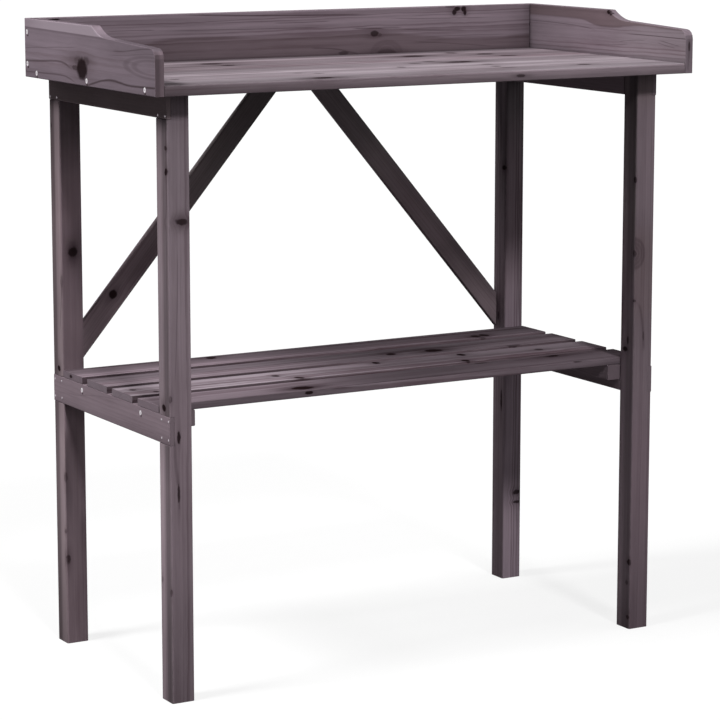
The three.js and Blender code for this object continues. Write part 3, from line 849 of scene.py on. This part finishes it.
LEFT_MARKS = [
    *grain_lines("-X", "YZ", LEFT_LINES),
    ("ovals", "-X", "YZ", (-196, 830), (54, 9), (1, 1.45), 0.24, 0.24),
    ("tone", "-X", "Y", [(-202, 0.86), (-73, 0.97), (-24, 1.06), (60, 1.1), (122, 1.08), (202, 1.02)]),
    ("tone", "-X", "Z", [
        (795, 0.8), (806, 0.88), (814, 1), (822, 1.05), (841, 0.97), (856, 0.9), (862, 0.97), (874, 1)]),
    ("tone", "+Z", "Y", [
        (-202, 0.5), (-90, 0.54), (-68, 0.78), (-50, 0.82), (-40, 0.86), (-28, 1.08), (-19, 1.12),
        (-12, 0.74), (202, 0.72)]),
    ("tone", "-Y", "X", [(-412.5, 0.5), (-407, 0.53), (-404, 0.76), (-399.5, 0.8)]),
    ("tint", "-Y", *EVERYWHERE, (1.05, 0.98, 0.965)),
    *screw_rims(BOARD_SCREWS),
    *screw_shadows(BOARD_SCREWS),
]
board("left_side_board", "y", 1.1, (690, -300), lean=(0.01, 0), spacing=9, wave=7, contrast=0.45,
      cloud=0.8, seed=81.2, knots=LEFT_KNOTS, drawn=LEFT_MARKS, flip=True, extra=light_band,
      light=(0.266, 0.21, 0.248), dark=(0.14, 0.092, 0.1))

BROWN_TOP = [
    (-202, 853), (-150, 854), (-110, 855), (-60, 852.5), (-35, 850), (-15, 849.5), (10, 850.5), (28, 853.5),
    (60, 858), (187, 858.5),
]
RIGHT_KNOTS = [
    ((399.5, -17.5, 871), (5, 4.4, 3.4), 1, 0.3), ((399.5, -23, 868.5), (5, 3.6, 2.6), 0.8, 0.3),
    ((406, -202.1, 832), (1.8, 5, 7.5), 0.55, 0.5),
]
RIGHT_LINES = [
    ([(-240, 841.5), (-160, 842), (-110, 842.5), (-55, 842.5)], 1.1, 0.7),
    ([(10, 842), (40, 846.5), (80, 848.5), (200, 850)], 1, 0.45),
    ([(-190, 831), (-165, 834), (-140, 837)], 0.8, 0.5),
    ([(-180, 828), (-160, 830), (-135, 834)], 0.8, 0.4),
    ([(-110, 835), (-80, 834), (-40, 829)], 0.8, 0.3),
    ([(-70, 828), (-30, 825), (20, 822)], 0.8, 0.35),
]
RIGHT_MARKS = [
    ("line", "-Y", "ZX", [(797, 404.5), (812, 405), (828, 406), (842, 405.5)], 2.4, 0.3),
    ("tone", "+Z", "Y", [(-202, 0.82), (202, 0.84)]),
    ("above", "-X", "YZ", BROWN_TOP, 2.2, (0.66, 0.605, 0.58)),
    ("line", "-X", "YZ", [(y, z + 0.6) for y, z in BROWN_TOP], 1.6, 0.2),
    *grain_lines("-X", "YZ", RIGHT_LINES),
    ("tint", "-X", "Y", 20, -100, (0.965, 1, 0.965)),
    # Painted shade: the inner face darkens along the worktop and towards the back board.
    ("tone", "-X", "Z", [(808.6, 0.62), (813, 0.83), (819, 1.07), (826, 1.06), (832, 0.97), (874, 1)]),
    ("tone", "-X", "Y", [
        (-202, 1.18), (-76, 1.15), (19, 1.04), (67, 0.97), (115, 0.83), (162, 0.72), (180, 0.62),
        (187, 0.5)]),
]
board("right_side_board", "y", 1.1, (700, 300), lean=(-0.01, 0), spacing=5, wave=5, contrast=0.45,
      seed=86.6, knots=RIGHT_KNOTS, drawn=RIGHT_MARKS, flip=True, light=BOARD_LIGHT)

BRACE_ANGLE = 49.36
BRACE_FOOT_X, BRACE_FOOT_Y, BRACE_FOOT_Z = 346.5, 191, 390.2


def brace(name, tone, seed, angle, foot_x, drawn, knots=()):
    """A brace, whose marks follow its own length: X runs up along it from its foot."""
    foot = (foot_x, BRACE_FOOT_Y, BRACE_FOOT_Z)
    board(name, "x", tone, (0, 30), lean=(0, 0.01), spacing=3.4, wave=4, contrast=0.5, seed=seed,
          turn=(angle, foot), knots=knots, drawn=drawn)


brace("left_brace", 0.85, 91.5, -BRACE_ANGLE, -BRACE_FOOT_X, [
    ("tone", "", "X", [
        (0, 0.97), (60, 1), (140, 1.12), (180, 1.2), (320, 1.36), (380, 1.08), (430, 0.95), (540, 0.95)]),
    ("tint", "", *EVERYWHERE, (1.01, 1, 0.97)),
    # Painted shade: towards its top, under the worktop, the brace turns greener and less purple.
    ("tint", "", "X", 150, 380, (0.92, 1.04, 0.96)),
], [((109, 0, 20.8), (7, 30, 6.5), 1, 0.6)])
brace("right_brace", 0.9, 95.8, BRACE_ANGLE + 180, BRACE_FOOT_X, [
    ("tone", "", "X", [
        (0, 1.05), (30, 1), (60, 0.82), (100, 0.74), (140, 0.9), (180, 1.13), (260, 1.14), (300, 1.36),
        (340, 1.6), (380, 1.32), (540, 1.35)]),
    ("tone", "", "Z", [(-32.5, 0.8), (-24, 0.93), (-16, 1.04), (-8, 1.08), (0, 0.9)]),
    ("tint", "", *EVERYWHERE, (1, 1, 0.965)),
    # Painted shade: towards its top, under the worktop, the brace turns greener and less purple.
    ("tint", "", "X", 250, 400, (0.94, 1.03, 0.99)),
])


# Bright zinc: the screws and the nails

PALE_ZINC, MIDDLE_ZINC, DARK_ZINC = (0.90, 0.90, 0.90), (0.80, 0.80, 0.81), (0.60, 0.60, 0.62)
HEAD_SHADE = (0.09, 0.07, 0.08)
PINKISH = (1.0, 0.945, 0.97)
STAINED = (0.55, 0.50, 0.53)
CAST_SCALE, SPECKLE_SCALE = 900, 3500
ZINC_BUMP = (0.25, 0.05 * MM)


def shaded_rim(g, colour, position, cast, centre):
    """Painted shade along the lower rim of a countersunk head."""
    offset = g.separate(g.vector("SUBTRACT", position, [v * MM for v in centre]))
    low = g.plus(g.times(offset[2], -0.85), g.times(offset[1], -0.5))
    low = g.plus(low, g.swing(cast, 1.0 * MM))
    return g.mix(g.times(g.step(low, 1.2 * MM, 3.2 * MM), 0.85), colour, HEAD_SHADE)


def zinc(name, tint, dull=0.0, centre=None):
    material = bpy.data.materials.new(name)
    material.use_nodes = True
    g = Graph(material.node_tree)
    shader = material.node_tree.nodes["Principled BSDF"]
    position = g.add("ShaderNodeTexCoord").outputs["Object"]
    cast = g.noise(position, CAST_SCALE, 3.0, 0.6)
    speckle = g.noise(position, SPECKLE_SCALE)
    stops = ((0.25, DARK_ZINC), (0.6, MIDDLE_ZINC), (0.85, PALE_ZINC))
    stops = [(place, tuple(v * t for v, t in zip(colour, tint))) for place, colour in stops]
    colour = g.ramp(g.times_plus(speckle, 0.4, g.times(cast, 0.6)), stops)
    if centre:
        colour = shaded_rim(g, colour, position, cast, centre)
    rough, normal = g.times_plus(cast, 0.3, 0.28 + dull), g.bump(speckle, *ZINC_BUMP)
    g.fill(shader, {"Base Color": colour, "Metallic": 1.0, "Roughness": rough, "Normal": normal})
    return material


for side, sign in (("left", -1), ("right", 1)):
    for kind, spots, face in (("board", BOARD_SCREWS, BOARD_FACE), ("rail", RAIL_SCREWS, LEG_FACE)):
        for i, (y, z) in enumerate(spots, 1):
            screw = f"{side}_{kind}_screw_{i}"
            dress(screw, zinc(f"{screw}_zinc", PINKISH, centre=(sign * face, y, z)))

# Nails through the laps, with low domed heads: four to a shelf lap and two to a top lap
NAIL_ROWS = {"front": (-160.4, -139.8), "back": (173.9, 196.3)}
NAIL_HEIGHTS = {"shelf": (350, 374.1), "top": (766.7,)}
HEAD_RADIUS, HEAD_RISE, HEAD_SKIRT, HEAD_SINK = 1.6, 0.55, 0.15, 0.05
DOME_ANGLES = (0.25, 0.55, 0.9, 1.2)
SHANK_RADIUS, SHANK_TOP, SHANK_LENGTH, POINT_LENGTH = 0.6, 0.2, 5.0, 1.0
NAIL_SIDES = 20
NAIL_LEAN = 4
NAIL_DRIFT = 0.3
chance = random.Random(7)


def nail_rows(mesh):
    """The nail's outline, from the top of its head to its point, turned round the X axis."""
    outline = [(0.0, HEAD_RISE + HEAD_SKIRT)]
    outline += [(HEAD_RADIUS * math.sin(t), HEAD_SKIRT + HEAD_RISE * math.cos(t)) for t in DOME_ANGLES]
    outline += [(HEAD_RADIUS, HEAD_SKIRT), (HEAD_RADIUS, -HEAD_SINK), (SHANK_RADIUS, -SHANK_TOP)]
    outline += [(SHANK_RADIUS, POINT_LENGTH - SHANK_LENGTH), (0.0, -SHANK_LENGTH)]
    rows = []
    for radius, height in outline:
        angles = [2 * math.pi * k / NAIL_SIDES for k in range(NAIL_SIDES if radius else 1)]
        rows.append([mesh.verts.new((height * MM, radius * MM * math.cos(t), radius * MM * math.sin(t)))
                     for t in angles])
    return rows


def nail(name, x, y, z, side):
    mesh = bmesh.new()
    rows = nail_rows(mesh)
    for upper, lower in zip(rows, rows[1:]):
        for k in range(NAIL_SIDES):
            a, b = upper[k % len(upper)], upper[(k + 1) % len(upper)]
            c, d = lower[(k + 1) % len(lower)], lower[k % len(lower)]
            mesh.faces.new(list(dict.fromkeys((a, d, c, b))))
    bmesh.ops.recalc_face_normals(mesh, faces=mesh.faces)
    lean_y, lean_z = (math.radians(chance.uniform(-NAIL_LEAN, NAIL_LEAN)) for _ in range(2))
    y, z = (place + chance.uniform(-NAIL_DRIFT, NAIL_DRIFT) for place in (y, z))
    lean = Matrix.Rotation(lean_y, 4, "Y") @ Matrix.Rotation(lean_z, 4, "Z")
    turn = Matrix.Rotation(math.pi if side < 0 else 0.0, 4, "Z")
    mesh.transform(Matrix.Translation((x * MM, y * MM, z * MM)) @ turn @ lean)
    data = bpy.data.meshes.new(name)
    mesh.to_mesh(data)
    mesh.free()
    data.shade_smooth()
    data.materials.append(stained_zinc)
    piece = placed(name, data)
    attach(piece, "root")


stained_zinc = zinc("stained_zinc", STAINED, 0.32)
for side, sign in (("left", -1), ("right", 1)):
    for end, columns in NAIL_ROWS.items():
        for level, heights in NAIL_HEIGHTS.items():
            spots = [(y, z) for y in columns for z in heights]
            for number, (y, z) in enumerate(spots, 1):
                nail(f"{side}_{end}_{level}_nail_{number}", sign * LEG_FACE, y, z, sign)


# Floor, light and camera

WHITE = (1, 1, 1, 1)
DOME_LEVEL = 0.047
FLOOR_REACH = 30.0
FLOOR_SEEN, FLOOR_GLOW = (0.22, 0.22, 0.22, 1), 0.80
FLOOR_LIGHTING = (0.10, 0.10, 0.10, 1)


def by_ray(g, lighting, seen):
    """One shader for the rays that carry light, and another for what is seen, straight or in a mirror."""
    path = g.add("ShaderNodeLightPath").outputs
    mix = g.add("ShaderNodeMixShader")
    shown = g.largest(path["Is Camera Ray"], path["Is Glossy Ray"], path["Is Transmission Ray"])
    for socket, value in zip(mix.inputs, (shown, lighting, seen)):
        g.put(socket, value)
    return mix.outputs[0]


def plain(g, kind, **values):
    """A shader whose sockets hold constants."""
    node = g.add(kind)
    g.fill(node, values)
    return node.outputs[0]


def world_light():
    world = bpy.data.worlds.new("studio")
    scene.world = world
    g = empty_tree(world)
    out = g.add("ShaderNodeOutputWorld")
    seen = plain(g, "ShaderNodeBackground", Color=WHITE, Strength=1.0)
    dome = plain(g, "ShaderNodeBackground", Color=WHITE, Strength=DOME_LEVEL)
    g.put(out.inputs[0], by_ray(g, dome, seen))


def floor():
    mesh = bmesh.new()
    bmesh.ops.create_grid(mesh, x_segments=1, y_segments=1, size=FLOOR_REACH)
    data = bpy.data.meshes.new("floor")
    mesh.to_mesh(data)
    mesh.free()
    piece = placed("floor", data)
    material = bpy.data.materials.new("pale_floor")
    g = empty_tree(material)
    out = g.add("ShaderNodeOutputMaterial")
    seen = g.add("ShaderNodeAddShader")
    g.put(seen.inputs[0], plain(g, "ShaderNodeBsdfDiffuse", Color=FLOOR_SEEN))
    g.put(seen.inputs[1], plain(g, "ShaderNodeEmission", Strength=FLOOR_GLOW))
    lighting = plain(g, "ShaderNodeBsdfDiffuse", Color=FLOOR_LIGHTING)
    g.put(out.inputs[0], by_ray(g, lighting, seen.outputs[0]))
    data.materials.append(material)


# Each sun: where it stands by compass, its height and its softness in degrees, and its level.
# The compass is counted from the front towards the right. Level 1 fully lights a surface that faces it.
SUNS = {
    "window": (270, 50, 18, 0.82),
    "key": (352.3, 39, 8, 0.43),
    "low_front": (8, 17, 20, 0.02),
    "side_fill": (65, 25, 70, 0.28),
    "back_fill": (180, 25, 60, 0.12),
}
SUN_DISTANCE = 4.0


def look(piece, direction):
    piece.rotation_euler = direction.to_track_quat("-Z", "Y").to_euler()


def sun(name, compass, height, softness, level):
    data = bpy.data.lights.new(name, "SUN")
    data.energy = level * math.pi
    data.angle = math.radians(softness)
    piece = placed(name, data)
    turn, rise = math.radians(compass), math.radians(height)
    toward = Vector((math.cos(rise) * math.sin(turn), -math.cos(rise) * math.cos(turn), math.sin(rise)))
    piece.location = toward * SUN_DISTANCE
    look(piece, -toward)


# The camera stands to the left of the front and looks down a little. Its sensor and lens are in millimetres
SENSOR_WIDTH, LENS, SHIFT_Y = 36.0, 140.05, -0.05
CAMERA_PLACE = (-1.9293, -3.3349, 1.0786)
CAMERA_YAW, CAMERA_PITCH = math.radians(30.017), math.radians(9.30)
CAMERA_REACH = 200.0


def camera():
    data = bpy.data.cameras.new("camera")
    data.sensor_width = SENSOR_WIDTH
    data.lens = LENS
    data.shift_y = SHIFT_Y
    data.clip_end = CAMERA_REACH
    piece = placed("camera", data)
    piece.location = CAMERA_PLACE
    level = math.cos(CAMERA_PITCH)
    look(piece, Vector((math.sin(CAMERA_YAW) * level, math.cos(CAMERA_YAW) * level, -math.sin(CAMERA_PITCH))))
    scene.camera = piece


world_light()
floor()
for name, values in SUNS.items():
    sun(name, *values)
camera()
scene.view_settings.view_transform = "Standard"
